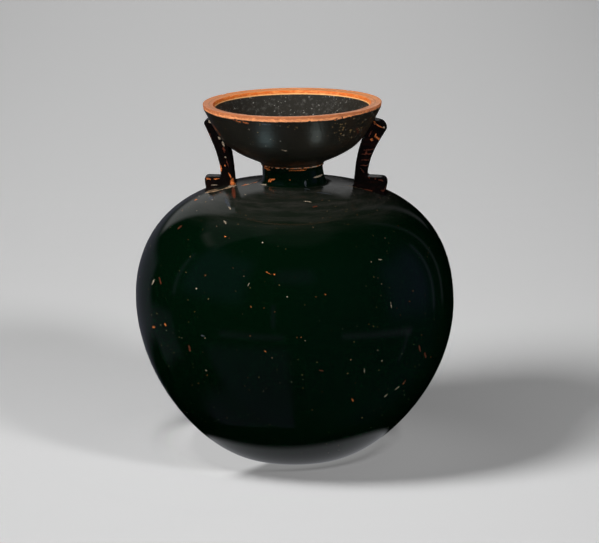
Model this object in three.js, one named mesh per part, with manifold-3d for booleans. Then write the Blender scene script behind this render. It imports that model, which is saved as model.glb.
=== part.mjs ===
// Two-handled aryballos, a small oil flask thrown in fired clay and covered in black gloss.
// Millimetres, +Z up. The flask rests on z = 0 and its handles stand on the X axis.

import * as THREE from 'three';
import { mergeVertices } from 'three/addons/utils/BufferGeometryUtils.js';
import Module from 'manifold-3d';

const wasm = await Module();
wasm.setup();

// Around the axis
const turns = 64;

// Body
const footRadius = 11.1;
const bellyRadius = 39;
const bellyLevel = 39.3;
const shoulderLevel = 68.2;
const lowerFullness = { out: 10.2, rise: 1, drop: 20.7 };
const upperFullness = { rise: 18.3, reach: 27, level: 67.8 };
const bodySteps = 12;

// Neck and the small bead where the bowl was joined on
const neckFootRadius = 8.3;
const neckRadius = 7.5;
const neckTop = 72.5;
const neckTaper = 0.1;
const neckFlare = 0.8;
const neckSteps = 3;
const beadRadius = 7.8;
const beadLevel = 72.9;
const bowlStartRadius = 7.6;
const bowlStart = 73.3;

// Bowl mouth
const rimTop = 88;
const rimRadius = 21.85;
const rimDrop = 1.35;
const rimBack = 0.2;
const bowlLow = { radius: 16.7, level: 77.1 };
const bowlHigh = { radius: 17.2, level: 78.1 };
const bowlSteps = 8;

// Hollow: body cavity, bore of the neck and the inside of the bowl
const floorLevel = 4.2;
const floorRadius = 9;
const cavityRadius = 36;
const cavityTop = 65;
const cavityLower = { out: 10.2, rise: 1, drop: 18.7 };
const cavityUpper = { rise: 16.7, reach: 25, level: 64.7 };
const cavitySteps = 8;
const boreRadius = 4.3;
const boreTop = 75.6;
const lipRadius = 19.1;
const lipDrop = 1.3;
const lipBack = 0.25;
const cupLow = { radius: 12.6, level: 77.6 };
const cupHigh = { radius: 15.2, level: 79.2 };
const cupSteps = 6;
const aboveRim = 4;

// The bowl was set on by hand, a little to one side and not quite level, and the body sways slightly
const mouthShift = -0.55;
const mouthTilt = 0.8;
const leanStart = 66;
const leanEnd = 74;
const bodySway = 0.3;
const swayTop = 44;

// Handles: straps with a standing tip under the rim and a toe lying out over the shoulder
const handleWidth = 4.3;
const handleEase = 0.3;
const handleCentre = 18;
const rightHandle = {
  turn: 2,
  twist: -6,
  strapOut: 17.7,
  tip: 22.4,
  tipTop: 83.9,
  tipDepth: 2.3,
  tipEase: 1.6,
  toeTop: 70.1,
  toeEnd: 22.6,
  toeEase: 1.6,
};
const leftHandle = {
  turn: 178,
  twist: 3,
  strapOut: 18,
  tip: 22.15,
  tipTop: 83.4,
  tipDepth: 0.9,
  tipEase: 0.7,
  toeTop: 69.3,
  toeEnd: 22.05,
  toeEase: 0.7,
};
const strapIn = 14.65;
const strapPull = { radius: 14.95, level: 75.5 };
const strapInBowl = { radius: 17.2, level: 80.6 };
const backStart = { out: 0.4, level: 74.2 };
const backEnd = { radius: 19.65, level: 77.1 };
const tipInBowl = 19;
const tipSlope = 0.4;
const crook = 0.6;
const toeTuck = 0.6;
const buried = 1.4;
const toeBuried = 3.4;
const curveSteps = 5;

const rad = THREE.MathUtils.degToRad;

// A closed solid from a three.js geometry, without the flat slivers at the poles
function solid(geometry) {
  const bare = geometry.clone();
  bare.deleteAttribute('normal');
  bare.deleteAttribute('uv');
  const merged = mergeVertices(bare, 1e-4);
  const corners = [];
  for (let i = 0; i < merged.index.count; i += 3) {
    const [a, b, c] = [0, 1, 2].map((k) => merged.index.getX(i + k));
    if (a !== b && b !== c && c !== a) corners.push(a, b, c);
  }
  return new wasm.Manifold(new wasm.Mesh({
    numProp: 3,
    vertProperties: Float32Array.from(merged.attributes.position.array),
    triVerts: Uint32Array.from(corners),
  }));
}

// Points of a curve from one profile point to the next, without its first point
function bend(from, firstPull, lastPull, to, steps) {
  const curve = new THREE.CubicBezierCurve(from, firstPull, lastPull, to);
  return curve.getPoints(steps).slice(1);
}

const at = (radius, level) => new THREE.Vector2(radius, level);

function spun(profile) {
  return new THREE.LatheGeometry(profile, turns).rotateX(Math.PI / 2);
}

// Outside of the flask from the middle of its base to the middle of its mouth
function outerProfile() {
  const foot = at(footRadius, 0);
  const belly = at(bellyRadius, bellyLevel);
  const shoulder = at(neckFootRadius, shoulderLevel);
  const bowl = at(bowlStartRadius, bowlStart);
  const rimUnder = at(rimRadius - rimBack, rimTop - rimDrop);
  return [
    at(0, 0),
    foot,
    ...bend(
      foot,
      at(footRadius + lowerFullness.out, lowerFullness.rise),
      at(bellyRadius, bellyLevel - lowerFullness.drop),
      belly,
      bodySteps,
    ),
    ...bend(
      belly,
      at(bellyRadius, bellyLevel + upperFullness.rise),
      at(upperFullness.reach, upperFullness.level),
      shoulder,
      bodySteps,
    ),
    ...bend(
      shoulder,
      at(neckRadius, shoulderLevel + neckFlare),
      at(neckRadius, shoulderLevel + 2 * neckFlare),
      at(neckRadius - neckTaper, neckTop),
      neckSteps,
    ),
    at(beadRadius, beadLevel),
    bowl,
    ...bend(
      bowl,
      at(bowlLow.radius, bowlLow.level),
      at(bowlHigh.radius, bowlHigh.level),
      rimUnder,
      bowlSteps,
    ),
    at(rimRadius, rimTop),
    at(0, rimTop),
  ];
}

// The hollow from the floor of the body up through the neck and out of the mouth
function hollowProfile() {
  const floor = at(floorRadius, floorLevel);
  const widest = at(cavityRadius, bellyLevel);
  const throat = at(boreRadius, cavityTop);
  const cup = at(boreRadius, boreTop);
  const lipUnder = at(lipRadius - lipBack, rimTop - lipDrop);
  return [
    at(0, floorLevel),
    floor,
    ...bend(
      floor,
      at(floorRadius + cavityLower.out, floorLevel + cavityLower.rise),
      at(cavityRadius, bellyLevel - cavityLower.drop),
      widest,
      cavitySteps,
    ),
    ...bend(
      widest,
      at(cavityRadius, bellyLevel + cavityUpper.rise),
      at(cavityUpper.reach, cavityUpper.level),
      throat,
      cavitySteps,
    ),
    cup,
    ...bend(
      cup,
      at(cupLow.radius, cupLow.level),
      at(cupHigh.radius, cupHigh.level),
      lipUnder,
      cupSteps,
    ),
    at(lipRadius, rimTop),
    at(lipRadius, rimTop + aboveRim),
    at(0, rimTop + aboveRim),
  ];
}

// Side view of a handle, radius across and level up, standing on the shoulder
function handleShape({ strapOut, tip, tipTop, tipDepth, tipEase, toeTop, toeEnd, toeEase }) {
  const footUnder = shoulderLevel - buried;
  const shape = new THREE.Shape();
  shape.moveTo(strapIn, footUnder);
  shape.lineTo(toeEnd - toeTuck, shoulderLevel - toeBuried);
  shape.lineTo(toeEnd, toeTop - toeEase);
  shape.quadraticCurveTo(toeEnd, toeTop, toeEnd - toeEase, toeTop);
  shape.lineTo(strapOut + crook, toeTop);
  shape.quadraticCurveTo(strapOut, toeTop, strapOut, toeTop + crook);
  shape.bezierCurveTo(
    strapOut + backStart.out,
    backStart.level,
    backEnd.radius,
    backEnd.level,
    tip,
    tipTop - tipDepth,
  );
  shape.quadraticCurveTo(tip, tipTop - tipSlope, tip - tipEase, tipTop);
  shape.lineTo(tipInBowl, tipTop + tipSlope);
  shape.lineTo(strapInBowl.radius, strapInBowl.level);
  shape.quadraticCurveTo(strapPull.radius, strapPull.level, strapIn, footUnder);
  return shape;
}

function handle(sizes) {
  const strap = new THREE.ExtrudeGeometry(handleShape(sizes), {
    depth: handleWidth - 2 * handleEase,
    curveSegments: curveSteps,
    bevelThickness: handleEase,
    bevelSize: handleEase,
    bevelOffset: -handleEase,
    bevelSegments: 1,
  });
  strap.rotateX(Math.PI / 2);
  strap.translate(-handleCentre, handleWidth / 2 - handleEase, 0);
  strap.rotateZ(rad(sizes.twist));
  strap.translate(handleCentre, 0, 0);
  return strap.rotateZ(rad(sizes.turn));
}

// The sway of the body and the lean of the mouth, which grows from the shoulder to the bowl
function leaned(geometry) {
  const spots = geometry.attributes.position;
  for (let i = 0; i < spots.count; i += 1) {
    const level = spots.getZ(i);
    const grown = THREE.MathUtils.smoothstep(level, leanStart, leanEnd);
    const sway = bodySway * Math.sin(Math.PI * THREE.MathUtils.clamp(level / swayTop, 0, 1));
    spots.setZ(i, level + grown * spots.getX(i) * Math.tan(rad(mouthTilt)));
    spots.setX(i, spots.getX(i) + grown * mouthShift + sway);
  }
  return geometry;
}

const outside = solid(leaned(spun(outerProfile())));
const hollow = solid(leaned(spun(hollowProfile())));
const straps = [rightHandle, leftHandle].map((sizes) => solid(handle(sizes)));
const flask = straps.reduce((whole, strap) => whole.add(strap), outside).subtract(hollow);

// Fired clay under black gloss
const blackGloss = new THREE.MeshStandardMaterial({ color: 0x141310, roughness: 0.18, metalness: 0 });

function piece(name, body, material) {
  const mesh = body.getMesh();
  const geometry = new THREE.BufferGeometry();
  geometry.setAttribute('position', new THREE.BufferAttribute(mesh.vertProperties, 3));
  geometry.setIndex(new THREE.BufferAttribute(mesh.triVerts, 1));
  const result = new THREE.Mesh(geometry, material);
  result.name = name;
  return result;
}

const part = new THREE.Group();
part.add(piece('aryballos', flask, blackGloss));

export default part;
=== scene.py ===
import math

import bpy
from mathutils import Matrix, Vector, noise
from mathutils.bvhtree import BVHTree


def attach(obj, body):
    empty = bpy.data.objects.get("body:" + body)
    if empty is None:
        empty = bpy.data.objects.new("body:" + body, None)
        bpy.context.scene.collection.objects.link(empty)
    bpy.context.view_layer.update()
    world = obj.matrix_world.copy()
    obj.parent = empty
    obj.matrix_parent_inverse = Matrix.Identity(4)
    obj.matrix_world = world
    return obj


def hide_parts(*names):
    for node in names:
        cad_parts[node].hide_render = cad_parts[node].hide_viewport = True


# A two-handled oil flask in black gloss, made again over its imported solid.
# Sizes are millimetres; mm turns them into Blender's metres.

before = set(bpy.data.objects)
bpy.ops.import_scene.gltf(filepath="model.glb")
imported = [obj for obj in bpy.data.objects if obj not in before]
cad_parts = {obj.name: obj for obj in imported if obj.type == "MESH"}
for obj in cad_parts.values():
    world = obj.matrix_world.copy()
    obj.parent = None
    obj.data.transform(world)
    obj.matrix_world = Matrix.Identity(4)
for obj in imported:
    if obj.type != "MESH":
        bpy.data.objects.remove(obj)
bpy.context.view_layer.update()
mm = 0.001
print("frame loaded:", sorted(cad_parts))


# shaping helpers

def smooth(value, low, high):
    t = min(max((value - low) / (high - low), 0.0), 1.0)
    return t * t * (3 - 2 * t)


def bend(start, firstPull, lastPull, end, steps):
    # points along one curve of a profile, without its first point
    points = []
    for i in range(1, steps + 1):
        t = i / steps
        s = 1 - t
        weights = (s * s * s, 3 * s * s * t, 3 * s * t * t, t * t * t)
        corners = (start, firstPull, lastPull, end)
        points.append(tuple(sum(w * p[k] for w, p in zip(weights, corners)) for k in (0, 1)))
    return points


def line(start, end, steps):
    return [tuple(start[k] + (end[k] - start[k]) * i / steps for k in (0, 1)) for i in range(1, steps + 1)]


def eased(before, corner, after, reach, steps=4):
    # a corner softened by the thumb: points that replace it
    a, c, b = Vector(before), Vector(corner), Vector(after)
    start = c + (a - c).normalized() * reach
    end = c + (b - c).normalized() * reach
    points = [tuple(start)]
    for i in range(1, steps + 1):
        t = i / steps
        points.append(tuple(start.lerp(c, t).lerp(c.lerp(end, t), t)))
    return points


# the flask: body, neck, bowl and the hollow inside

flask = {
    "columns": 324,
    "foot": 11.1,
    "belly": (39.0, 39.3),
    "shoulder": (8.3, 68.2),
    "lowerPulls": ((21.3, 1.0), (39.0, 18.6)),
    "upperPulls": ((39.0, 57.6), (27.0, 67.8)),
    "neck": 7.5,
    "neckTop": (7.4, 72.5),
    "bead": (7.8, 72.9),
    "bowlStart": (7.6, 73.3),
    "bowlPulls": ((16.7, 77.1), (17.2, 78.1)),
    "rimUnder": (21.65, 86.65),
    "rim": (21.85, 88.0),
    "lip": (19.1, 87.72),
    "joint": 73.05,
    "lipUnder": (18.85, 86.7),
    "cupPulls": ((15.2, 79.2), (12.6, 77.6)),
    "bore": 4.3,
    "boreTop": 75.6,
    "cavityTop": 65.0,
    "cavityUpper": ((25.0, 64.7), (36.0, 56.0)),
    "cavityWide": 36.0,
    "cavityLower": ((36.0, 20.6), (19.2, 5.2)),
    "floor": (9.0, 4.2),
    "hiddenBelow": 75.0,
    "hiddenShare": 0.2,
    "edge": 0.28,
    "sway": 0.3,
    "swayTop": 44.0,
    "mouthShift": -0.55,
    "mouthTilt": math.radians(0.8),
    "leanFrom": 66.0,
    "leanTo": 74.0,
    "wobble": 0.05,
    "wheelMarks": 0.014,
    "chipZone": (17.0, 84.0),
    "skinMargin": 0.004,
}

# small losses along the rim: turn in degrees, level, reach and depth
rimChips = [
    (-122.6, 86.7, 1.0, 0.28),
    (-119.0, 86.5, 0.6, 0.16),
    (-46.0, 86.7, 0.5, 0.14),
    (-38.5, 86.9, 0.7, 0.16),
    (-30.0, 87.1, 0.6, 0.15),
    (57.0, 87.9, 0.6, 0.12),
    (148.0, 87.9, 0.8, 0.16),
    (101.0, 86.6, 0.7, 0.2),
]


def bodyPoints(f):
    # outside from the foot up to the joint under the bowl, then down the bore and round the hollow
    foot, joint = (f["foot"], 0.0), (f["bowlStart"][0], f["joint"])
    neckPulls = ((f["neck"], f["shoulder"][1] + 0.8), (f["neck"], f["shoulder"][1] + 1.6))
    points = [(0.0, 0.0)] + line((0, 0), (f["foot"] - 0.7, 0.0), 6)
    points += eased((0, 0), foot, f["lowerPulls"][0], 0.7)
    points += bend(foot, *f["lowerPulls"], f["belly"], 46)[1:]
    points += bend(f["belly"], *f["upperPulls"], f["shoulder"], 46)
    points += bend(f["shoulder"], *neckPulls, f["neckTop"], 9)
    points += bend(f["neckTop"], (f["bead"][0] - 0.1, f["neckTop"][1]), f["bead"], joint, 5)
    outside = len(points)
    cavityIn = (f["bore"], f["cavityTop"])
    middle = (f["cavityWide"], f["belly"][1])
    points += line(joint, (f["bore"], f["joint"]), 3)
    points += line((f["bore"], f["joint"]), cavityIn, 6)
    points += bend(cavityIn, *f["cavityUpper"], middle, 14)
    points += bend(middle, *f["cavityLower"], f["floor"], 14)
    points += line(f["floor"], (0, f["floor"][1]), 3)
    return points, outside


def bowlPoints(f):
    # from the joint out to the rim, over it and down the cup to the bore
    under = (f["bead"][0] - 0.4, f["joint"] - 0.5)
    boreFoot = (f["bore"] + 0.3, under[1])
    points = line(boreFoot, under, 4)
    points = [boreFoot] + points + [(f["bead"][0] - 0.25, f["joint"] - 0.2)]
    points += bend(f["bowlStart"], *f["bowlPulls"], f["rimUnder"], 42)[:-1]
    points += eased(f["bowlPulls"][1], f["rimUnder"], f["rim"], 0.2, 3)
    points += eased(f["rimUnder"], f["rim"], f["lip"], f["edge"])
    points += line(f["rim"], f["lip"], 7)[:-1]
    points += eased(f["rim"], f["lip"], f["lipUnder"], f["edge"])
    outside = len(points)
    points += line(f["lip"], f["lipUnder"], 4)[1:]
    points += bend(f["lipUnder"], *f["cupPulls"], (f["bore"], f["boreTop"]), 34)
    points += line((f["bore"], f["boreTop"]), (f["bore"] + 0.05, f["joint"]), 5)
    return points, outside


def leaned(f, point):
    # the slight sway of the body and the lean of the bowl, as in the solid
    x, y, z = point
    grown = smooth(z, f["leanFrom"], f["leanTo"])
    sway = f["sway"] * math.sin(math.pi * min(max(z / f["swayTop"], 0), 1))
    return Vector((x + grown * f["mouthShift"] + sway, y, z + grown * x * math.tan(f["mouthTilt"])))


def wheelRipple(f, turn, level, outside):
    # how far the potter's fingers left the clay inside its true outline
    here = Vector((math.cos(turn) * 1.3, math.sin(turn) * 1.3, level * 0.055))
    slow = noise.noise(here) * f["wobble"]
    rings = noise.noise(Vector((math.cos(turn) * 0.3, math.sin(turn) * 0.3, level * 1.35)))
    fine = noise.noise(Vector((math.cos(turn) * 0.5 + 7, math.sin(turn) * 0.5, level * 3.1)))
    strength = f["wheelMarks"] * (1.6 if level > f["bowlStart"][1] else 0.35)
    dent = min(slow, f["wobble"]) - f["wobble"] + (rings + 0.5 * fine - 0.9) * strength
    if outside:
        return dent * smooth(level, 0.0, 2.5)
    return -dent * 0.5


def chipDepth(turn, radius, level):
    depth = 0.0
    for chipTurn, chipLevel, reach, most in rimChips:
        across = math.remainder(turn - math.radians(chipTurn), 2 * math.pi) * radius
        away = math.hypot(across, (level - chipLevel) * 1.3) / reach
        if away < 1:
            rough = 0.75 + 0.5 * noise.noise(Vector((across * 2.1, level * 2.3, chipTurn)))
            depth = max(depth, most * (1 - away * away) * rough)
    return depth


def throw(name, profile, outside, f, closes):
    # turn a profile into a piece; closes says whether it ends on the axis or back at its start
    count, columns = len(profile), f["columns"]
    verts, spots, within = [], [], []
    for row, (radius, level) in enumerate(profile):
        before = Vector(profile[max(row - 1, 0)])
        after = Vector(profile[min(row + 1, count - 1)])
        along = (after - before).normalized()
        outward = Vector((along.y, -along.x))
        for column in range(1 if radius < 1e-6 else columns):
            turn = math.pi / 2 + 2 * math.pi * column / columns
            dent = 0.0 if radius < 1e-6 else wheelRipple(f, turn, level, row < outside)
            if radius > f["chipZone"][0] and level > f["chipZone"][1]:
                dent -= chipDepth(turn, radius, level)
            r = radius + outward.x * dent
            z = max(level + outward.y * dent, 0.0)
            x, y = r * math.cos(turn), r * math.sin(turn)
            verts.append(leaned(f, (x, y, z)) * mm)
            spots += [radius * math.cos(turn), radius * math.sin(turn), level]
            within.append(float(row >= outside))
    mesh = bpy.data.meshes.new(name)
    mesh.from_pydata(verts, [], turnedFaces(count, columns, closes))
    mesh.attributes.new("spot", "FLOAT_VECTOR", "POINT").data.foreach_set("vector", spots)
    mesh.attributes.new("within", "FLOAT", "POINT").data.foreach_set("value", within)
    unwrap(mesh, profile, outside, f, closes)
    mesh.polygons.foreach_set("use_smooth", [True] * len(mesh.polygons))
    mesh.validate()
    mesh.update()
    piece = bpy.data.objects.new(name, mesh)
    bpy.context.collection.objects.link(piece)
    return piece


def turnedFaces(count, columns, closes):
    faces = []
    if closes == "axis":
        top = 1 + (count - 2) * columns
        rings = [1 + row * columns for row in range(count - 2)]
        for column in range(columns):
            following = (column + 1) % columns
            faces.append((0, 1 + following, 1 + column))
            faces.append((top, top - columns + column, top - columns + following))
    else:
        rings = [row * columns for row in range(count)] + [0]
    for low, high in zip(rings, rings[1:]):
        for column in range(columns):
            following = (column + 1) % columns
            faces.append((low + column, low + following, high + following, high + column))
    return faces


def unwrap(mesh, profile, outside, f, closes):
    # the skin laid out flat: turns across, the profile's length up, the unseen hollow kept short
    columns, margin = f["columns"], f["skinMargin"]
    lengths = [0.0]
    for row in range(1, len(profile)):
        run = (Vector(profile[row]) - Vector(profile[row - 1])).length
        hidden = row > outside and profile[row][1] < f["hiddenBelow"]
        lengths.append(lengths[-1] + run * (f["hiddenShare"] if hidden else 1.0))
    if closes != "axis":
        lengths.append(lengths[-1] + (Vector(profile[0]) - Vector(profile[-1])).length)
    layer = mesh.uv_layers.new(name="OFBake")
    first = 1 if closes == "axis" else 0
    last = len(mesh.vertices) - 1 if closes == "axis" else len(mesh.vertices)
    for face in mesh.polygons:
        turns = [(v - first) % columns for v in face.vertices if first <= v < last]
        rows = [(v - first) // columns + first for v in face.vertices if first <= v < last]
        wraps = max(turns) - min(turns) > 1
        rewinds = closes != "axis" and max(rows) - min(rows) > 1
        middle = sum(t + columns if wraps and t == 0 else t for t in turns) / len(turns)
        for corner in face.loop_indices:
            v = mesh.loops[corner].vertex_index
            row = 0 if v < first else len(profile) - 1 if v >= last else first + (v - first) // columns
            row = len(profile) if rewinds and row == 0 else row
            t = middle if v < first or v >= last else (v - first) % columns
            t = columns if wraps and t == 0 else t
            flat = (t / columns, lengths[row] / lengths[-1])
            layer.data[corner].uv = [margin + (1 - 2 * margin) * part for part in flat]


# the two handles

strap = {
    "width": 4.3,
    "centre": 18.0,
    "inner": 14.65,
    "innerPull": (14.95, 75.5),
    "inBowl": (17.2, 80.6),
    "backOut": 0.4,
    "backStart": 74.2,
    "backEnd": (19.65, 77.1),
    "tipInBowl": 19.0,
    "tipSlope": 0.4,
    "crook": 0.6,
    "toeTuck": 0.6,
    "footUnder": 66.8,
    "toeUnder": 64.8,
    "corner": 0.55,
    "voxel": 0.15,
    "unevenness": 0.07,
    "flare": 0.45,
    "flareHeight": 0.8,
}

rightHandle = {
    "name": "rightHandle",
    "turn": 2.0,
    "twist": -6.0,
    "out": 17.7,
    "tip": 22.4,
    "tipTop": 83.9,
    "tipDepth": 2.3,
    "tipEase": 1.6,
    "toeTop": 70.1,
    "toeEnd": 22.6,
    "toeEase": 1.6,
}

leftHandle = {
    "name": "leftHandle",
    "turn": 178.0,
    "twist": 3.0,
    "out": 18.0,
    "tip": 22.15,
    "tipTop": 83.4,
    "tipDepth": 0.9,
    "tipEase": 0.7,
    "toeTop": 69.3,
    "toeEnd": 22.05,
    "toeEase": 0.7,
}


def softBend(start, pull, end, steps):
    third = [tuple(p[k] + (pull[k] - p[k]) * 2 / 3 for k in (0, 1)) for p in (start, end)]
    return bend(start, third[0], third[1], end, steps)


def handleSide(h):
    # the strap seen from its side: radius across, level up
    s = strap
    foot = (s["inner"], s["footUnder"])
    toe, end, ease = h["toeTop"], h["toeEnd"], h["toeEase"]
    tipLow = (h["tip"], h["tipTop"] - h["tipDepth"])
    points = [foot, (end - s["toeTuck"], s["toeUnder"]), (end, toe - ease)]
    points += softBend((end, toe - ease), (end, toe), (end - ease, toe), 8)
    points.append((h["out"] + s["crook"], toe))
    points += softBend((h["out"] + s["crook"], toe), (h["out"], toe), (h["out"], toe + s["crook"]), 6)
    points += bend(
        (h["out"], toe + s["crook"]), (h["out"] + s["backOut"], s["backStart"]), s["backEnd"], tipLow, 24
    )
    tipCorner = (h["tip"], h["tipTop"] - s["tipSlope"])
    points += softBend(tipLow, tipCorner, (h["tip"] - h["tipEase"], h["tipTop"]), 8)
    points.append((s["tipInBowl"], h["tipTop"] + s["tipSlope"]))
    points.append(s["inBowl"])
    points += softBend(s["inBowl"], s["innerPull"], foot, 16)[:-1]
    return points


def shoulderLevel(radius):
    # height of the flask's own surface under a handle
    f = flask
    curve = [f["belly"]] + bend(f["belly"], *f["upperPulls"], f["shoulder"], 60)
    for (r0, z0), (r1, z1) in zip(curve, curve[1:]):
        if r1 <= radius <= r0:
            return z0 + (z1 - z0) * (r0 - radius) / max(r0 - r1, 1e-6)
    return f["shoulder"][1]


def cutHandle(h):
    side = handleSide(h)
    count, half = len(side), strap["width"] / 2
    verts = [(r - strap["centre"], y, z) for y in (-half, half) for r, z in side]
    faces = [tuple(range(count)), tuple(reversed(range(count, 2 * count)))]
    faces += [(i, i + count, (i + 1) % count + count, (i + 1) % count) for i in range(count)]
    mesh = bpy.data.meshes.new(h["name"])
    mesh.from_pydata(verts, [], faces)
    piece = bpy.data.objects.new(h["name"], mesh)
    bpy.context.collection.objects.link(piece)
    rounding = piece.modifiers.new("rounding", "BEVEL")
    rounding.width, rounding.segments = strap["corner"], 4
    rounding.limit_method, rounding.angle_limit = "ANGLE", math.radians(38)
    skin = piece.modifiers.new("skin", "REMESH")
    skin.mode, skin.voxel_size = "VOXEL", strap["voxel"]
    soften = piece.modifiers.new("soften", "SMOOTH")
    soften.factor, soften.iterations = 0.5, 5
    settled = bpy.data.meshes.new_from_object(piece.evaluated_get(bpy.context.evaluated_depsgraph_get()))
    piece.modifiers.clear()
    piece.data = settled
    bpy.data.meshes.remove(mesh)
    settled.name = h["name"]
    shapeHandle(piece, h)
    return piece


def shapeHandle(piece, h):
    # the fingers' unevenness, the clay pressed out round the foot, then the handle set in place
    mesh = piece.data
    place = (
        Matrix.Rotation(math.radians(h["turn"]), 4, "Z")
        @ Matrix.Translation((strap["centre"], 0, 0))
        @ Matrix.Rotation(math.radians(h["twist"]), 4, "Z")
    )
    near = [[] for _ in mesh.vertices]
    for edge in mesh.edges:
        a, b = edge.vertices
        near[a].append(b)
        near[b].append(a)
    normals = [v.normal.copy() for v in mesh.vertices]
    spread = [v.co.copy() for v in mesh.vertices]
    edges = []
    for v in mesh.vertices:
        middle = sum((mesh.vertices[n].co for n in near[v.index]), Vector()) / max(len(near[v.index]), 1)
        edges.append((v.co - middle).dot(normals[v.index]) / strap["voxel"])
    for _ in range(3):
        means = [sum(edges[n] for n in ring) / max(len(ring), 1) for ring in near]
        edges = [0.4 * own + 0.6 * mean for own, mean in zip(edges, means)]
    seed = 5.0 if h["turn"] < 90 else 11.0
    for v in mesh.vertices:
        n = normals[v.index]
        lump = noise.noise(v.co * 0.45 + Vector((seed, 0, 0)))
        lump += 0.4 * noise.noise(v.co * 1.4 + Vector((0, seed, 0)))
        move = n * (lump - 0.5) * strap["unevenness"]
        radius = math.hypot(v.co.x + strap["centre"], v.co.y)
        above = v.co.z - shoulderLevel(radius)
        if above < strap["flareHeight"]:
            lift = 1 - max(above, 0.0) / strap["flareHeight"]
            move += Vector((n.x, n.y, 0)) * strap["flare"] * lift * lift
        spread[v.index] = place @ (v.co + move) * mm
    for v in mesh.vertices:
        v.co = spread[v.index]
    mesh.attributes.new("edge", "FLOAT", "POINT").data.foreach_set("value", edges)
    mesh.polygons.foreach_set("use_smooth", [True] * len(mesh.polygons))
    mesh.update()


# shader wiring

class Wire:
    # one output of a shader node; sums written on it become nodes
    def __init__(self, tree, socket=None):
        self.tree, self.socket = tree, socket

    def node(self, kind, settings=None, sockets=None, out=0):
        made = self.tree.nodes.new("ShaderNode" + kind)
        for name, value in (settings or {}).items():
            if name == "stops":
                ramp = made.color_ramp.elements
                while len(ramp) < len(value):
                    ramp.new(0.5)
                for stop, (place, colour) in zip(ramp, value):
                    stop.position, stop.color = place, colour
            else:
                setattr(made, name, value)
        for name, value in (sockets or {}).items():
            if isinstance(value, Wire):
                self.tree.links.new(value.socket, made.inputs[name])
            else:
                made.inputs[name].default_value = value
        return Wire(self.tree, made.outputs[out] if made.outputs else None)

    def reckon(self, operation, left, right):
        pair = (left, right)
        vector = any(isinstance(w, Wire) and w.socket.type in ("VECTOR", "RGBA") for w in pair)
        if vector:
            left, right = ((w, w, w) if isinstance(w, (int, float)) else w for w in pair)
        kind = "VectorMath" if vector else "Math"
        return self.node(kind, {"operation": operation}, {0: left, 1: right})

    def __add__(self, other):
        return self.reckon("ADD", self, other)

    def __radd__(self, other):
        return self.reckon("ADD", other, self)

    def __sub__(self, other):
        return self.reckon("SUBTRACT", self, other)

    def __rsub__(self, other):
        return self.reckon("SUBTRACT", other, self)

    def __mul__(self, other):
        return self.reckon("MULTIPLY", self, other)

    def __rmul__(self, other):
        return self.reckon("MULTIPLY", other, self)

    def __truediv__(self, other):
        return self.reckon("DIVIDE", self, other)

    def __rtruediv__(self, other):
        return self.reckon("DIVIDE", other, self)

    def __pow__(self, other):
        return self.reckon("POWER", self, other)


def ramped(value, low, high, start=0.0, end=1.0):
    # start below low, end above high, a soft step between
    return value.node(
        "MapRange",
        {"interpolation_type": "SMOOTHSTEP"},
        {"Value": value, "From Min": low, "From Max": high, "To Min": start, "To Max": end},
    )


def grain(place, scale, detail=2.0, rough=0.5):
    return place.node(
        "TexNoise", {}, {"Vector": place, "Scale": scale, "Detail": detail, "Roughness": rough}
    )


def over(mask, below, above):
    # colour above laid on colour below where mask is 1
    return mask.node("Mix", {"data_type": "RGBA"}, {0: mask, 6: below, 7: above}, 2)


def larger(a, b):
    return a.reckon("MAXIMUM", a, b)


def smaller(a, b):
    return a.reckon("MINIMUM", a, b)


def parts(place):
    split = place.node("SeparateXYZ", {}, {0: place}).socket.node
    return [Wire(place.tree, split.outputs[k]) for k in range(3)]


def newFinish(name, fixed):
    # a material with its fixed values set on the shader itself, and a wire to start from
    material = bpy.data.materials.new(name)
    material.use_nodes = True
    shader = material.node_tree.nodes["Principled BSDF"]
    for socket, value in fixed.items():
        shader.inputs[socket].default_value = value
    return material, shader, Wire(material.node_tree)


def connect(shader, **wires):
    names = {"colour": "Base Color", "roughness": "Roughness", "normal": "Normal", "glow": "Emission Color"}
    for key, wire in wires.items():
        wire.tree.links.new(wire.socket, shader.inputs[names[key]])
    if "glow" in wires:
        shader.inputs["Emission Strength"].default_value = 1.0


def bumped(height):
    # height is in mm
    return height.node("Bump", {}, {"Height": height, "Strength": 1.0, "Distance": mm})


def placeOf(start):
    # where a spot of the surface is, in mm
    return start.node("NewGeometry", {}, {}, "Position") * (1 / mm)


def turnFromCamera(x, y):
    # degrees round the flask, 0 towards the camera
    return x.node("Math", {"operation": "ARCTAN2"}, {0: x, 1: 0 - y}) * math.degrees(1) - camera["azimuth"]


# marks of wear, and bluish painted highlights and reflections, placed where they show in the picture

pictureWidth = 599
pictureCentre = (299.0, 271.0)

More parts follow.
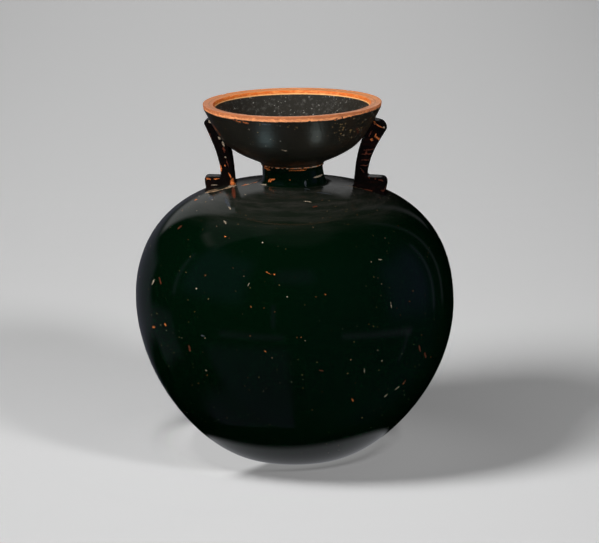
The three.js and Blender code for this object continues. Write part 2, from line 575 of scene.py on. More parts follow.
# each mark runs from one picture point to another: x, y, x, y, width in picture points
bodyMarks = {
    "orange": [
        (263.5, 167.0, 269, 169.2, 1.2), (289, 170.3, 306, 169.6, 0.9), (268.2, 180.4, 271, 179.8, 2.0),
        (271, 179.2, 274.2, 178.8, 1.2), (289.8, 179.3, 289.9, 179.4, 1.2),
        (241.6, 185.1, 249, 183.4, 1.3), (250, 182.9, 257, 181.3, 1.0), (194, 199.6, 196.5, 198.9, 1.3),
        (152, 326.6, 154.4, 326.6, 0.9), (164, 323, 165.4, 325, 1.0), (224, 235.6, 225.8, 236.3, 0.8),
        (250, 305.5, 250.4, 306.5, 0.8), (264.2, 350.6, 265.4, 351.2, 0.9),
        (265.5, 271.5, 270.5, 273.5, 0.6), (273.4, 273.6, 274.2, 274.0, 0.7),
        (324.5, 294.0, 325.2, 294.4, 0.8), (351.5, 398, 352.4, 401, 0.7),
    ],
    "pale": [
        (314.6, 177.0, 322.6, 174.0, 0.9), (259.6, 183.8, 266.3, 184.6, 0.8),
        (244.6, 194, 245.2, 194.4, 1.1), (208.9, 195.4, 211.6, 199.4, 1.0),
        (195.6, 287.6, 196.1, 288.3, 1.2), (205.7, 369.8, 206.2, 370.2, 1.0),
        (380.8, 360.2, 381.3, 360.7, 1.0), (261.8, 241.8, 262.2, 242.3, 1.2),
        (286.7, 296.2, 287.2, 296.8, 1.1), (395, 389, 398.5, 386, 0.6), (384, 396.5, 387, 393.5, 0.6),
        (228, 206, 230.4, 209, 0.8), (151.5, 283.5, 153.6, 279.5, 1.0), (247, 285.5, 249.0, 282.5, 0.6),
        (363.6, 368, 364.2, 372, 0.6), (303.8, 200.5, 311.2, 201.6, 0.7), (229, 185.4, 233, 186.2, 2.4),
        (378, 258.6, 381.5, 259.4, 0.5), (390, 302, 391, 307, 0.6), (223.5, 220, 225.5, 223.5, 0.8),
    ],
    "cream": [
        (204.6, 192.4, 211, 191.2, 1.5), (211, 191.2, 218, 189.8, 1.9), (218, 189.8, 224, 188.2, 1.4),
        (224, 188.2, 230, 186.6, 2.0), (230.0, 186.2, 236, 184.4, 1.5), (345.0, 184.6, 358.8, 187.4, 0.7),
        (358.8, 187.4, 372, 190.4, 1.0), (372, 190.4, 383, 192.9, 0.8), (246.0, 184.2, 250, 183.3, 1.0),
        (206, 190.9, 217, 188.6, 1.0),
    ],
    "rust": [
        (188.3, 345, 189.6, 350.5, 1.6), (177.5, 228.5, 181, 225.0, 1.5),
        (312.5, 206.6, 316.6, 205.4, 1.0), (319, 369.6, 322.5, 370.6, 1.3), (418.5, 345, 420, 351, 1.1),
        (402, 384, 405, 380, 0.8), (232.4, 187.0, 234, 197.0, 1.5), (158.5, 277, 160.5, 283, 1.3),
        (424, 352, 425.5, 357, 1.0),
    ],
    # painted highlights and reflections on the gloss of the neck, shoulder and body
    "paintedSheen": [
        (304.6, 180.5, 305.2, 186.0, 1.8), (224.3, 197.5, 229.2, 206.5, 1.2),
        (209.5, 195.5, 211, 199, 2.2), (200.5, 334.8, 204.5, 335.6, 1.0), (304.5, 188.0, 309, 189.0, 1.2),
        (316, 191.6, 331, 193.6, 1.0),
    ],
}

bowlMarks = {
    "orange": [
        (271, 167.0, 285, 167.9, 0.7), (308.0, 166.6, 309.2, 168.0, 1.6),
        (242.5, 121.6, 247.5, 122.8, 1.2), (235.5, 120.2, 240, 121.6, 0.8), (334, 119.7, 336, 119.2, 0.8),
        (353, 114.8, 356.5, 113.3, 0.8), (212.0, 124.2, 216.4, 130.2, 0.9),
        (217.4, 131.4, 220.4, 135.6, 0.9),
    ],
    "pale": [
        (248.3, 128.8, 248.7, 129.2, 1.0), (281.2, 149.5, 286.2, 150.3, 0.5),
        (263.5, 165.4, 268, 167.2, 0.7), (221.5, 136.8, 223.0, 139.5, 0.8),
    ],
    "rust": [
        (230.5, 118.8, 236, 120.4, 1.0), (362, 136, 359, 139.5, 1.2), (356.5, 128, 358, 133, 0.8),
    ],
    # painted highlights on the bowl's gloss
    "paintedSheen": [(261, 123.6, 270.2, 124.3, 1.6), (299.8, 163, 306.3, 163.6, 1.1)],
}

leftMarks = {
    "orange": [
        (213.2, 126.4, 219.4, 135, 1.0), (216.9, 157.5, 218.4, 162.2, 1.6),
        (219.7, 164.6, 220.4, 170.5, 1.6), (228.2, 172.6, 230.3, 177, 1.5),
        (219.9, 173.2, 218.6, 177.4, 1.1), (218.4, 178.1, 213.6, 178.7, 1.1),
        (204.4, 179.8, 204.8, 186.5, 1.1), (206.2, 177.9, 209.5, 178.6, 1.4),
        (232.6, 179.5, 232.8, 186.0, 4.6), (224.3, 164.5, 224.7, 166, 1.1),
    ],
    "pale": [
        (208.6, 119.9, 210.3, 121.7, 2.6), (218.3, 136.6, 219.3, 138.3, 1.8),
        (222.1, 141.2, 223.5, 145.4, 1.5), (224.6, 156.6, 225.1, 157.2, 1.3),
        (210.8, 184.7, 216.6, 184.3, 0.9),
    ],
    "rust": [
        (210.6, 138.2, 215.2, 152, 1.2), (222.8, 147.2, 224.2, 151.5, 1.8), (226, 160, 228, 166, 0.9),
        (207, 130, 210.6, 138.2, 0.7), (231.2, 188, 235, 190, 2.0),
    ],
}

rightMarks = {
    "orange": [
        (374.2, 123, 382.5, 127.4, 0.9), (384.6, 130.3, 384.9, 131.3, 1.5),
        (375.6, 133.6, 374.4, 136.4, 1.1), (370.9, 138.3, 371.4, 140.2, 2.1),
        (378.3, 137.6, 378.9, 139.6, 0.9), (370.8, 142.4, 375.8, 146.2, 1.9),
        (373.2, 120.8, 375.2, 122.6, 0.8), (378, 143.4, 377.4, 146.8, 0.8),
    ],
    "rust": [
        (363.6, 149.8, 373.3, 148.5, 1.2), (361.5, 154.1, 371.4, 153.1, 1.1),
        (362.6, 160.3, 369.4, 158.8, 1.1), (361.8, 165.3, 367.4, 164.5, 1.1),
        (360.2, 168, 363.6, 172, 1.1), (364.4, 126, 362.4, 134.5, 1.1), (366.4, 149.5, 364.9, 154.3, 1.4),
        (368.2, 176.2, 369.2, 177.2, 1.2), (374.3, 177.8, 375.3, 178.2, 1.2),
        (383.4, 191, 385.6, 185.2, 1.1), (378.6, 179.5, 382.8, 180.5, 1.0), (371.4, 130, 368.2, 136, 1.0),
        (360, 188, 372, 190.6, 0.8),
    ],
    "pale": [(383.3, 126.6, 384.4, 127.4, 0.8)],
}

markColours = {
    "rust": (0.12, 0.024, 0.009, 1),
    "orange": (0.66, 0.170, 0.036, 1),
    "cream": (0.46, 0.29, 0.17, 1),
    "pale": (0.42, 0.33, 0.24, 1),
    # this bluish grey is the colour of painted highlights and reflections on the gloss
    "paintedSheen": (0.050, 0.058, 0.070, 1),
}


# how a stroke lies on the clay: shares of its width in the picture, then sizes in mm
stroke = {"ends": 0.42, "half": 0.5, "leastLean": 0.42, "leastHalf": 0.085, "depth": 1.2}


def throughPicture(eye, x, y):
    # the ray from the camera through a picture point, in metres
    sizePoint = eye.data.sensor_width / pictureWidth
    right = (x - pictureCentre[0]) * sizePoint
    up = (pictureCentre[1] - y) * sizePoint
    ray = Vector((right, up, -eye.data.lens))
    return eye.matrix_world.translation, (eye.matrix_world.to_quaternion() @ ray).normalized()


def findMarks(eye, piece, marks):
    # where each mark lies on a piece: centre, turn of its frame and half sizes, all in mm
    mesh = piece.data
    tree = BVHTree.FromPolygons([v.co for v in mesh.vertices], [face.vertices for face in mesh.polygons])
    point = camera["distance"] / camera["focal"]
    found = {}
    for kind, strokes in marks.items():
        for x0, y0, x1, y1, width in strokes:
            aims = ((x0, y0), (x1, y1), ((x0 + x1) / 2, (y0 + y1) / 2))
            spots = [tree.ray_cast(*throughPicture(eye, *aim)) for aim in aims]
            if any(spot[0] is None for spot in spots):
                continue
            start, end, middle = [spot[0] / mm for spot in spots]
            normal = spots[2][1]
            sight = (middle * mm - eye.matrix_world.translation).normalized()
            lean = max(abs(normal.dot(sight)), stroke["leastLean"])
            along = end - start
            half = along.length / 2 + width * point * stroke["ends"]
            along = (along - normal * along.dot(normal)).normalized()
            frameTurn = Matrix((along, normal.cross(along), normal)).transposed().to_euler()
            wide = max(width * point * stroke["half"], stroke["leastHalf"]) / lean
            sizes = (half, wide, stroke["depth"])
            found.setdefault(kind, []).append((tuple(middle), tuple(frameTurn), sizes))
    return found


def markMask(place, found):
    # 1 on the marks of one kind; their edges follow the jitter already in place
    nearest = None
    for middle, turned, sizes in found:
        if sizes[0] < 1.8 * sizes[1]:
            away = place.node("VectorMath", {"operation": "DISTANCE"}, {0: place, 1: middle}, "Value")
            away = away / math.sqrt(sizes[0] * sizes[1])
        else:
            sockets = {"Vector": place, "Location": middle, "Rotation": turned, "Scale": sizes}
            local = place.node("Mapping", {"vector_type": "TEXTURE"}, sockets)
            away = local.node("VectorMath", {"operation": "LENGTH"}, {0: local}, "Value")
        nearest = away if nearest is None else smaller(nearest, away)
    return ramped(nearest, 1.2, 0.75)


def wearAndSheen(place, found, colour):
    # marks of every kind laid on a colour, painted highlights among them; gives the colour and where it is
    # bare or painted with highlight
    ways = {"Vector": place, "Scale": 2.6, "Detail": 4.0, "Roughness": 0.7}
    jitter = place.node("TexNoise", {}, ways, "Color")
    moved = place + (jitter - 0.5) * (0.8, 0.8, 0.8)
    broken = ramped(grain(place, 3.4, 3.0, 0.6), 0.32, 0.48)
    shade = ramped(grain(place, 1.7, 4.0, 0.7), 0.36, 0.64)
    bareOrSheen = None
    for kind, tone in markColours.items():
        if kind in found:
            mask = markMask(moved, found[kind]) * broken
            deep = tuple(part * 0.4 for part in tone[:3]) + (1,)
            colour = over(mask, colour, over(shade, deep, tone))
            bareOrSheen = mask if bareOrSheen is None else larger(bareOrSheen, mask)
    return colour, bareOrSheen


# finishes

glaze = {"Specular IOR Level": 0.5, "IOR": 1.45}

gloss = {
    "body": (0.0004, 0.0042, 0.0014, 1),
    "haze": (0.0230, 0.0220, 0.0185, 1),
    "bowl": (0.0120, 0.0115, 0.0085, 1),
    "brown": (0.020, 0.013, 0.007, 1),
    "inside": (0.016, 0.0145, 0.0105, 1),
    "handle": (0.0030, 0.0022, 0.0018, 1),
    "handleBrown": (0.015, 0.0045, 0.0025, 1),
    "bodyRough": 0.06,
    "bowlRough": 0.34,
    "insideRough": 0.55,
    "speckOrange": (0.36, 0.11, 0.03, 1),
    "speckPale": (0.32, 0.28, 0.21, 1),
    "speckOchre": (0.20, 0.13, 0.05, 1),
    "insidePale": (0.26, 0.25, 0.23, 1),
}

clay = {
    "top": (0.51, 0.205, 0.108, 1),
    "pale": (0.78, 0.41, 0.25, 1),
    # the outer face's darker tone is painted shade, and the next a painted highlight along its lower edge
    "face": (0.42, 0.130, 0.045, 1),
    "faceEdgeHighlight": (0.86, 0.32, 0.115, 1),
    "inner": (0.80, 0.270, 0.065, 1),
    "innerDeep": (0.66, 0.125, 0.010, 1),
    # a painted highlight where the inner band meets the gloss
    "bright": (0.98, 0.58, 0.24, 1),
    "dark": (0.22, 0.055, 0.016, 1),
    "rough": 0.62,
}


def pinholes(place, size, share, most):
    # scattered losses: a mask, and a random value in each for its colour
    # size is cells per mm, share how many cells have one, most the largest radius in cells
    cells = place.node("TexVoronoi", {"feature": "F1"}, {"Vector": place, "Scale": size}).socket.node
    away = Wire(place.tree, cells.outputs["Distance"])
    pick, tone, large = parts(Wire(place.tree, cells.outputs["Color"]))
    radius = large * large * most + 0.045
    mask = ramped(away / radius, 1.15, 0.7) * ramped(pick, 1.0 - share, 1.0 - share + 0.01)
    return mask, tone


def bodyFinish(found):
    material, shader, start = newFinish("blackGloss", glaze)
    spot = start.node("Attribute", {"attribute_name": "spot"}, {}, "Vector")
    place = placeOf(start)
    z = parts(spot)[2]
    # a thin dusty haze, heavier on the shoulder, brushed round by cleaning
    streaks = grain(spot * (0.10, 0.10, 1.3), 1.0, 5.0, 0.7)
    haze = ramped(z, 60.5, 67.0) * ramped(z, 68.5, 67.9) * (ramped(streaks, 0.38, 0.68) * 0.65 + 0.35)
    colour = over(haze * 0.9, gloss["body"], gloss["haze"])
    holes, tone = pinholes(spot + (grain(spot, 1.6) - 0.5) * 0.5, 1.15, 0.22, 0.14)
    scattered = ramped(grain(spot * 0.06, 1.0, 2.0), 0.45, 0.6)
    holes = holes * (scattered * 0.75 + 0.25)
    colour = over(holes, colour, over(ramped(tone, 0.45, 0.55), gloss["speckOchre"], gloss["speckOrange"]))
    colour = over(holes * ramped(tone, 0.74, 0.76), colour, gloss["speckPale"])
    colour, bareOrSheen = wearAndSheen(place, found, colour)
    bareOrSheen = larger(bareOrSheen, holes)
    joint = ramped(z, 72.66, 72.78) * ramped(grain(spot, 1.3, 4.0, 0.7), 0.44, 0.56)
    jointTone = over(ramped(grain(spot, 2.0), 0.4, 0.6), markColours["orange"], markColours["pale"])
    colour = over(joint * 0.85, colour, jointTone)
    smear = grain(spot * (0.05, 0.05, 0.3), 1.0, 4.0, 0.6)
    neck = ramped(z, 66.5, 69.0)
    rough = gloss["bodyRough"] + ramped(smear, 0.5, 0.8) * 0.04 + haze * 0.16 + neck * 0.10
    rough = rough + bareOrSheen * 0.4
    wheel = grain(spot * (0.06, 0.06, 2.6), 1.0, 4.0, 0.7)
    height = wheel * 0.0012 - holes * 0.02
    connect(shader, colour=colour, roughness=rough, normal=bumped(height))
    return material


def bowlFinish(found):
    material, shader, start = newFinish("bowlGloss", glaze)
    spot = start.node("Attribute", {"attribute_name": "spot"}, {}, "Vector")
    within = start.node("Attribute", {"attribute_name": "within"}, {}, "Fac")
    place = placeOf(start)
    x, y, z = parts(spot)
    radius = (x * x + y * y) ** 0.5

    # the rim left in the clay; the gloss ends in an uneven line
    ragged = grain(spot * 0.55, 3.0, 4.0, 0.65) - 0.5
    climb = ramped(x, 12.0, 19.5) * 0.55 + ramped(0 - x, 15.0, 20.0) * 0.3
    notches = ramped(grain(spot * 0.9, 1.3, 3.0, 0.6), 0.56, 0.66) * ramped(x, 2.0, 10.0) * 0.5
    outerEdge = z - 86.62 + ragged * 0.5 - climb - notches
    innerEdge = z - 86.70 + ragged * 0.12
    outerBare = ramped(outerEdge, -0.07, 0.07) * ramped(radius, 20.0, 20.4)
    innerBare = ramped(innerEdge, -0.08, 0.08) * ramped(radius, 20.4, 20.0)
    reserved = larger(outerBare, innerBare)

    # clay: pinkish flat top; the outer face darker and redder as painted shade, with a painted highlight
    # along its lower edge; a bright orange band inside, with a painted highlight at its foot; painted shade
    # in patches towards the left
    topFace = ramped(radius, 21.75, 21.5) * ramped(radius, 19.1, 19.35)
    outerFace = ramped(radius, 21.5, 21.75)
    innerFace = ramped(radius, 19.35, 19.1)
    mottle = grain(spot * 0.9, 1.6, 5.0, 0.6)
    streak = grain(spot * (0.5, 0.5, 1.3), 1.5, 5.0, 0.6)
    fine = grain(spot, 4.5, 3.0, 0.6)
    clayColour = over(ramped(mottle, 0.38, 0.72), clay["top"], clay["pale"])
    clayColour = over(ramped(y, -4.0, 14.0) * 0.65, clayColour, clay["inner"])
    # painted shade in patches towards the left, in the outer face's shaded tone
    clayColour = over(ramped(0 - x, 4.0, 16.0) * ramped(mottle, 0.42, 0.60) * 0.5, clayColour, clay["face"])
    # painted highlight towards the outer face's lower edge, mixed with streaks
    edgeHighlightAndStreaks = ramped(z, 87.6, 86.9) * 0.6 + ramped(streak, 0.40, 0.70) * 0.5
    faceShadeAndHighlight = over(ramped(edgeHighlightAndStreaks, 0.15, 0.95), clay["face"], clay["faceEdgeHighlight"])
    clayColour = over(outerFace, clayColour, faceShadeAndHighlight)
    inner = over(ramped(streak, 0.40, 0.70), clay["innerDeep"], clay["inner"])
    clayColour = over(innerFace, clayColour, inner)
    # painted highlight along the foot of the inner band
    clayColour = over(ramped(z, 87.05, 86.8) * innerFace * 0.8, clayColour, clay["bright"])
    stains = ramped(grain(spot * 1.1, 1.7, 5.0, 0.7), 0.58, 0.70) * (ramped(0 - x, -2.0, 14.0) * 0.6 + 0.25)
    clayColour = over(stains, clayColour, clay["dark"])
    clayColour = over(ramped(fine, 0.68, 0.76) * 0.6, clayColour, clay["pale"])

    # gloss: brown and thin, worn to ochre specks on the right
    browner = ramped(grain(spot * 0.12, 1.0, 3.0, 0.6), 0.45, 0.75) * ramped(x, -2.0, 16.0)
    lines = grain(spot * (0.05, 0.05, 5.0), 1.0, 3.0, 0.7)
    colour = over(browner, gloss["bowl"], gloss["brown"])
    colour = over(ramped(lines, 0.5, 0.75) * 0.35, colour, gloss["brown"])
    colour = over(within, colour, gloss["inside"])
    holes, tone = pinholes(spot + (grain(spot, 2.0) - 0.5) * 0.4, 1.9, 0.65, 0.46)
    worn = ramped(x, 8.5, 14.0) * ramped(z, 79.0, 82.5) * (1 - within)
    holes = holes * ramped(grain(spot * 0.5, 1.0, 3.0, 0.7) + worn * 0.30, 0.56, 0.68) * (1 - within)
    speck = over(ramped(tone, 0.78, 0.9), gloss["speckOchre"], gloss["insidePale"])
    colour = over(holes * 0.85, colour, speck)

    # pale deposit inside the bowl, in crumbs and drifts
    crumbs, crumbTone = pinholes(spot + (grain(spot, 2.5) - 0.5) * 0.5, 2.3, 0.7, 0.45)
    drifts = ramped(grain(spot * 0.22, 1.0, 4.0, 0.7), 0.42, 0.60)
    deposit = crumbs * drifts * ramped(crumbTone, 0.1, 0.5) * within
    veil = ramped(grain(spot * 0.8, 1.5, 6.0, 0.75), 0.5, 0.8) * within
    colour = over(veil * 0.4, colour, gloss["insidePale"])
    colour = over(deposit * 0.85, colour, gloss["insidePale"])

    colour, bareOrSheen = wearAndSheen(place, found, colour)
    colour = over(reserved, colour, clayColour)
    rough = gloss["bowlRough"] + within * (gloss["insideRough"] - gloss["bowlRough"]) + bareOrSheen * 0.2
    rough = rough + reserved * (clay["rough"] - rough)
    wheel = grain(spot * (0.06, 0.06, 3.2), 1.0, 4.0, 0.7)
    height = wheel * 0.03 + lines * 0.022 + reserved * (mottle * 0.05 + fine * 0.02 - 0.02)
    height = height + deposit * 0.04 - holes * 0.02
    connect(shader, colour=colour, roughness=rough, normal=bumped(height))
    return material


def handleFinish(name, found, brownShare):
    material, shader, start = newFinish(name, glaze)
    place = placeOf(start)
    edge = start.node("Attribute", {"attribute_name": "edge"}, {}, "Fac")
    patch = grain(place, 0.9, 4.0, 0.65)
    strokes = grain(place * (0.25, 0.25, 1.1), 1.0, 4.0, 0.6)
    colour = over(ramped(strokes, 0.5, 0.68) * brownShare, gloss["handle"], gloss["handleBrown"])
    worn = ramped(edge + (patch - 0.5) * 0.35, 0.16, 0.24)
    colour = over(worn * 0.7, colour, markColours["rust"])
    colour, bareOrSheen = wearAndSheen(place, found, colour)
    bareOrSheen = larger(bareOrSheen, worn)
    rough = 0.2 + bareOrSheen * 0.4
    fine = grain(place * (1.0, 1.0, 0.4), 1.5, 4.0, 0.6)
    height = fine * 0.03 - worn * 0.03
    connect(shader, colour=colour, roughness=rough, normal=bumped(height))
    return material


# studio

camera = {
    "azimuth": 6.7,
    "elevation": 12.03,
    "distance": 1000.0,
    "height": 44.0,
    "aside": 1.25,
    "above": 1.81,
    "focal": 4080.0,
}

# tones are shares of full white, sizes millimetres, directions degrees from the camera
studio = {
    "near": 0.685,  # the paper's tone under the flask and far behind it
    "far": 0.375,
    "halfWay": 420.0,
    "aside": -28.0,  # where the paper is brightest, and how fast it dims to the sides
    "dim": 0.075,
    "mostAlbedo": 0.92,
    "paperReach": 2600.0,
    "paperCurl": 350.0,
    "paperTop": 500.0,
    "left": {"azimuth": -53.0, "elevation": 48.0, "distance": 390.0, "size": 200.0, "share": 0.72},
    "right": {"azimuth": 36.8, "elevation": 29.5, "distance": 520.0, "size": 210.0, "share": 0.22},
    "paperLeft": {
        "azimuth": -47.2, "elevation": 60.7, "distance": 205.0, "size": 58.0, "share": 3.0,
        "shade": {"middle": 39.0, "long": 65.0, "wide": 52.0, "soft": 0.09},
    },
    "paperRight": {
        "azimuth": 32.9, "elevation": 43.0, "distance": 368.0, "size": 60.0, "share": 0.99,
        "shade": {"middle": 61.0, "long": 77.0, "wide": 47.0, "soft": 0.05},
    },
    "skyShare": 0.03,
    "fill": 0.075,  # faint glows of the paper in the deep shadow and by the foot
    "fillReach": 62.0,
    "footGlow": 0.43,
    "footSide": -34.0,
    "contactGlow": 0.15,
    "sky": 0.01,
    "sheen": 0.35,
}


def around(azimuth, elevation, distance):
    # a point seen from the flask: azimuth 0 is the camera's side, + to its right
    a = math.radians(azimuth + camera["azimuth"])
    e = math.radians(elevation)
    return Vector((math.sin(a) * math.cos(e), -math.cos(a) * math.cos(e), math.sin(e))) * distance


def hung(spec):
    return around(spec["azimuth"], spec["elevation"], spec["distance"])


def power(spec):
    # what lets white paper under the flask reach the lamp's share of full white
    metres = spec["distance"] * mm
    return spec["share"] * math.pi ** 2 * metres ** 2 / math.sin(math.radians(spec["elevation"]))


def setCamera():
    data = bpy.data.cameras.new("camera")
    data.sensor_width = 36.0
    data.lens = camera["focal"] * data.sensor_width / pictureWidth
    data.clip_start, data.clip_end = 0.05, 10
    eye = bpy.data.objects.new("camera", data)
    bpy.context.collection.objects.link(eye)
    a = math.radians(camera["azimuth"])
    side = Vector((math.cos(a), math.sin(a), 0))
    centre = Vector((0, 0, camera["height"]))
    place = centre + around(0, camera["elevation"], camera["distance"])
    upward = side.cross(centre - place).normalized()
    aim = centre + side * camera["aside"] + upward * camera["above"]
    eye.location = place * mm
    eye.rotation_mode = "QUATERNION"
    eye.rotation_quaternion = (aim - place).to_track_quat("-Z", "Y")
    bpy.context.scene.camera = eye
    bpy.context.view_layer.update()
    return eye


def falloff(spec, x, y):
    # how strongly a small near light reaches a spot on the floor, 1 under the flask
    lamp = hung(spec)
    away = (x - lamp.x) * (x - lamp.x) + (y - lamp.y) * (y - lamp.y) + lamp.z * lamp.z
    return (spec["distance"] ** 2 / away) ** 1.5


def shaded(name, x, y):
    # 1 inside the oval of paper that the belly hides from one lamp
    spec = studio[name]
    shade, turn = spec["shade"], math.radians(spec["azimuth"] + camera["azimuth"])
    along = (y * math.cos(turn) - x * math.sin(turn) - shade["middle"]) / shade["long"]
    across = (x * math.cos(turn) + y * math.sin(turn)) / shade["wide"]
    return ramped((along * along + across * across) ** 0.5, 1 + shade["soft"], 1 - shade["soft"])


def paperFinish():
    # the tone evens out the near lights' fall-off; far paper glows faintly instead
    material, shader, start = newFinish("paper", {"Roughness": 0.95, "Specular IOR Level": 0.0})
    place = placeOf(start)
    x, y = parts(place)[:2]
    turn = math.radians(camera["azimuth"])
    behind = larger(y * math.cos(turn) - x * math.sin(turn), 0.0)
    aside = (x * math.cos(turn) + y * math.sin(turn) - studio["aside"]) / 100.0
    wanted = (studio["near"] - studio["far"]) / (behind / studio["halfWay"] + 1.0) + studio["far"]
    wanted = wanted * larger(1.0 - aside * aside * studio["dim"], 0.75)
    light = studio["skyShare"]
    for side in ("paperLeft", "paperRight"):
        light = falloff(studio[side], x, y) * studio[side]["share"] + light
    # a faint fill in the deep shadow near the flask
    out = (x * x + y * y) ** 0.5
    fill = ramped(out, studio["fillReach"], 26.0) * studio["fill"]
    tone = smaller((wanted - fill) / light, studio["mostAlbedo"])
    # painted light: the paper glows to stay bright at the left of the foot, where the belly shades it from
    # the left lamp, and glows to keep one tone where both shadows meet
    side = turnFromCamera(x, y)
    side = ramped(side, studio["footSide"] + 7, studio["footSide"] - 7) * ramped(side, -175.0, -140.0)
    byFoot = shaded("paperLeft", x, y) * side * ramped(out, 46.0, 36.0)
    contact = shaded("paperRight", x, y) * (1 - side) * ramped(out, 37.0, 27.0)
    glow = wanted - tone * light + byFoot * studio["footGlow"] + contact * studio["contactGlow"]
    connect(shader, colour=tone, glow=glow)
    return material


def layPaper():
    # a pale floor that curves up into a wall all round
    columns, reach, curl = 96, studio["paperReach"], studio["paperCurl"]
    profile = [(r, 0.0) for r in (60, 160, 400, 900, reach - curl)]
    profile += [(reach - curl + curl * math.sin(t), curl - curl * math.cos(t)) for t in
                [math.pi / 2 * i / 10 for i in range(1, 11)]]
    profile.append((reach, studio["paperTop"]))
    verts = [Vector((0, 0, 0))]
    verts += [
        Vector((r * math.cos(2 * math.pi * i / columns), r * math.sin(2 * math.pi * i / columns), z)) * mm
        for r, z in profile
        for i in range(columns)
    ]
    faces = [(0, 1 + i, 1 + (i + 1) % columns) for i in range(columns)]
    for row in range(len(profile) - 1):
        a = 1 + row * columns
        faces += [(a + i, a + columns + i, a + columns + (i + 1) % columns, a + (i + 1) % columns)
                  for i in range(columns)]
    mesh = bpy.data.meshes.new("paper")
    mesh.from_pydata(verts, [], faces)
    mesh.polygons.foreach_set("use_smooth", [True] * len(faces))
    paper = bpy.data.objects.new("paper", mesh)
    bpy.context.collection.objects.link(paper)
    mesh.materials.append(paperFinish())
    paper.visible_glossy = False
    return paper


def hangLamp(name, data, place, target, lit):
    # a lamp that lights only the given pieces, unseen by the camera
    lamp = bpy.data.objects.new(name, data)
    bpy.context.collection.objects.link(lamp)
    lamp.location = place * mm
    lamp.rotation_mode = "QUATERNION"
    lamp.rotation_quaternion = ((target - place) * mm).to_track_quat("-Z", "Y")
    lamp.visible_camera = False
    group = bpy.data.collections.new(name + "On")
    for piece in lit:
        group.objects.link(piece)
    lamp.light_linking.receiver_collection = group
    return lamp


def hangLight(name, spec, lit, sheen=False):
    # a soft lamp on the flask; as a sheen it shows in the gloss alone
    data = bpy.data.lights.new(name, "AREA")
    data.shape, data.size = "DISK", spec["size"] * mm
    data.energy = power(spec)
    lamp = hangLamp(name, data, hung(spec), Vector(), lit)
    lamp.visible_glossy = sheen
    if sheen:
        lamp.visible_diffuse = lamp.visible_shadow = False
        data.energy *= studio["sheen"]


def hangPaperLight(name, spec, paper):
    # a small near lamp that throws the flask's shadow on the paper and lights nothing else
    data = bpy.data.lights.new(name, "POINT")
    data.shadow_soft_size = spec["size"] / 2 * mm
    data.energy = 4 * power(spec)
    lamp = hangLamp(name, data, hung(spec), Vector(), [paper])
    lamp.visible_glossy = False


glints = {
    "left": {
        "azimuth": -32.5, "radius": 25.0, "level": 67.6, "size": 7.0,
        "power": 0.00028, "colour": (0.66, 0.95, 1.0),
    },
    "right": {
        "azimuth": 27.0, "radius": 25.0, "level": 69.0, "size": 3.5,
        "power": 0.00022, "colour": (0.85, 1.0, 0.95),
    },
}


def hangGlint(name, spec, bowl):
    # the light that the shoulder throws back up on the satin bowl
    data = bpy.data.lights.new(name, "AREA")
    data.shape, data.size, data.energy = "DISK", spec["size"] * mm, spec["power"]
    data.color = spec["colour"]
    foot = around(spec["azimuth"], 0.0, spec["radius"])
    place = foot + Vector((0, 0, spec["level"]))
    target = foot * 0.7 + Vector((0, 0, spec["level"] + 10.0))
    lamp = hangLamp(name, data, place, target, [bowl])
    lamp.visible_diffuse = lamp.visible_shadow = False


def fillRoom():
    world = bpy.data.worlds.new("room")
    bpy.context.scene.world = world
    world.use_nodes = True
    back = world.node_tree.nodes["Background"]
    back.inputs["Color"].default_value = (1, 1, 1, 1)
    back.inputs["Strength"].default_value = studio["sky"]


# what the gloss mirrors: each patch of the room is centre and half width in degrees
# across and up, softness of its edge, and its light
room = {
    "sky": (0, 180, 86, 14, 5, (0.06, 0.058, 0.052)),
    "skyLeft": (-112, 26, 62, 17, 4, (0.085, 0.085, 0.085)),
    "wallBehind": (-168, 20, 31, 19, 3, (0.32, 0.32, 0.32)),
    "tableLeft": (-151, 24, -5, 14, 4, (0.070, 0.070, 0.090)),
    "tableCorner": (-113, 14, -19, 10, 3, (0.038, 0.040, 0.052)),
    "boxLeft": (-64, 26, 28, 20, 8, (0.035, 0.040, 0.075)),
    "boxEdge": (-106, 12, 46, 2, 3, (0.16, 0.15, 0.14)),
    "stripLeft": (-97, 1.5, 18, 16, 2, (0.08, 0.09, 0.11)),
    "boxRight": (92, 20, 12, 18, 9, (0.035, 0.025, 0.075)),
    "stripRight": (119, 1.5, 10, 18, 2, (0.06, 0.06, 0.085)),
    "stripFar": (133, 1.5, 22, 30, 2, (0.045, 0.045, 0.055)),
    "boxMiddle": (0, 16, 36, 7, 6, (0.045, 0.025, 0.065)),
    "lampMiddle": (-15, 1.5, 0, 9, 1.5, (0.06, 0.045, 0.09)),
    "barRight": (64, 30, -15, 1.8, 2.0, (0.085, 0.065, 0.10)),
    "legRight": (90, 1.5, -23, 8, 1.5, (0.05, 0.04, 0.06)),
    "barLeft": (-32, 24, -16, 2.0, 2.5, (0.065, 0.045, 0.085)),
    "tableFront": (-38, 33, -58, 34, 6, (0.036, 0.020, 0.056)),
    "tableNear": (-98, 27, -63, 15, 6, (0.028, 0.017, 0.040)),
    "shade": (60, 60, -10, 60, 20, (0.004, 0.007, 0.016)),
    "edgeRight": (157, 2.0, 34, 26, 2, (0.055, 0.055, 0.058)),
}

roomReach = 2400.0


def inside(value, middle, half, soft, turning=False):
    # 1 within half of middle, falling to 0 over the soft edge
    gap = value - middle
    if turning:
        gap = gap.node("Math", {"operation": "WRAP"}, {0: gap, 1: 180.0, 2: -180.0})
    gap = gap.node("Math", {"operation": "ABSOLUTE"}, {0: gap})
    return ramped(gap, half - soft, half + soft, 1.0, 0.0)


def mirrorOnly(piece, name, material):
    # shows in the gloss and nowhere else
    piece.name = name
    piece.data.materials.append(material)
    piece.visible_camera = piece.visible_diffuse = piece.visible_shadow = False
    piece.visible_transmission = False


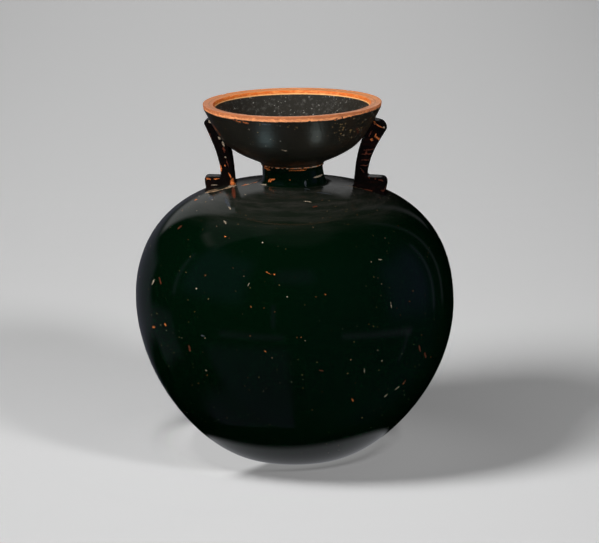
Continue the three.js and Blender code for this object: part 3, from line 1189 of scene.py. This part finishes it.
def hangRoom():
    material, shader, start = newFinish("room", {"Base Color": (0, 0, 0, 1), "Specular IOR Level": 0.0})
    place = start.node("NewGeometry", {}, {}, "Position")
    x, y, z = parts(place)
    turn = turnFromCamera(x, y)
    flat = (x * x + y * y) ** 0.5
    lift = z.node("Math", {"operation": "ARCTAN2"}, {0: z, 1: flat}) * math.degrees(1)
    light = None
    for middle, half, level, rise, soft, colour in room.values():
        mask = inside(lift, level, rise, soft)
        if half < 180:
            mask = mask * inside(turn, middle, half, soft, turning=True)
        patch = mask.node("VectorMath", {"operation": "SCALE"}, {0: colour, "Scale": mask})
        light = patch if light is None else light + patch
    connect(shader, glow=light)
    bpy.ops.mesh.primitive_uv_sphere_add(segments=96, ring_count=48, radius=roomReach * mm)
    mirrorOnly(bpy.context.object, "room", material)


sheet = {"reach": 23.6, "inner": 20.4, "aside": 1.5, "narrower": 0.87, "light": (0.26, 0.265, 0.28)}


def laySheet():
    # the lit table just round the foot, seen only in the gloss
    material, shader, start = newFinish("sheet", {"Base Color": (0, 0, 0, 1), "Specular IOR Level": 0.0})
    place = placeOf(start)
    oval = (place - (sheet["aside"], 0, 0)) * (sheet["narrower"], 1, 1)
    out = oval.node("VectorMath", {"operation": "LENGTH"}, {0: oval}, "Value")
    mask = ramped(out, sheet["reach"], sheet["inner"])
    light = mask.node("VectorMath", {"operation": "SCALE"}, {0: sheet["light"], "Scale": mask})
    connect(shader, glow=light)
    bpy.ops.mesh.primitive_circle_add(vertices=64, radius=sheet["reach"] * 1.3 * mm, fill_type="NGON")
    mirrorOnly(bpy.context.object, "sheet", material)


# make and place the pieces

eye = setCamera()

profile, outside = bodyPoints(flask)
body = throw("body", profile, outside, flask, "axis")
body.data.materials.append(bodyFinish(findMarks(eye, body, bodyMarks)))
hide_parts("aryballos")
profile, outside = bowlPoints(flask)
bowl = throw("bowl", profile, outside, flask, "round")
bowl.data.materials.append(bowlFinish(findMarks(eye, bowl, bowlMarks)))
flaskPieces = [body, bowl]
for piece in flaskPieces:
    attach(piece, "root")
    print(piece.name, "thrown:", len(piece.data.polygons), "faces")

for sizes, marks, brownShare in ((rightHandle, rightMarks, 0.6), (leftHandle, leftMarks, 0.25)):
    handle = cutHandle(sizes)
    flaskPieces.append(handle)
    finish = handleFinish(sizes["name"] + "Gloss", findMarks(eye, handle, marks), brownShare)
    handle.data.materials.append(finish)
    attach(handle, "root")
    print(sizes["name"], "cut:", len(handle.data.polygons), "faces")

paper = layPaper()
laySheet()
hangRoom()
for side in ("left", "right"):
    hangLight(side + "Light", studio[side], flaskPieces)
    hangLight(side + "Sheen", studio[side], [bowl], sheen=True)
    hangPaperLight(side + "PaperLight", studio["paper" + side.capitalize()], paper)
    hangGlint(side + "Glint", glints[side], bowl)
fillRoom()
bpy.context.scene.view_settings.view_transform = "Standard"
print("studio set")
